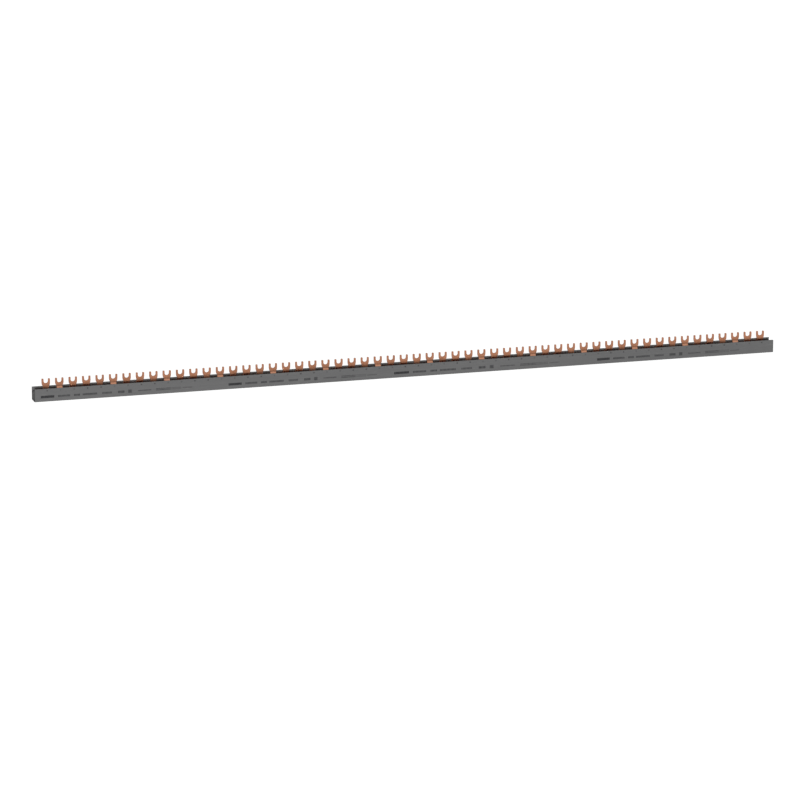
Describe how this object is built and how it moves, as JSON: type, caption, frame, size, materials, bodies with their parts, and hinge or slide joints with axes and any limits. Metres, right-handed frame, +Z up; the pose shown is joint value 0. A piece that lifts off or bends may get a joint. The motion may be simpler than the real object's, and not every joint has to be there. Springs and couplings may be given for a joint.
{
  "type": "comb busbar",
  "caption": "Long slim insulated busbar: forked copper terminals stand in one row out of a grey channel, wired in turn to separate copper bars inside.",
  "frame": {"origin": "middle of the channel's flat underside", "axes": "+X along the bar, -Y out of the front face, +Z up towards the tips of the forks"},
  "size_m": [1.0118, 0.0184, 0.029],
  "materials": {
    "housing": "extruded, satin grey",
    "copper": "bare rolled copper, satin"
  },
  "bodies": {
    "root": {"housing": "housing", "comb_front": "copper", "comb_second": "copper", "comb_third": "copper", "comb_rear": "copper"}
  },
  "joints": []
}
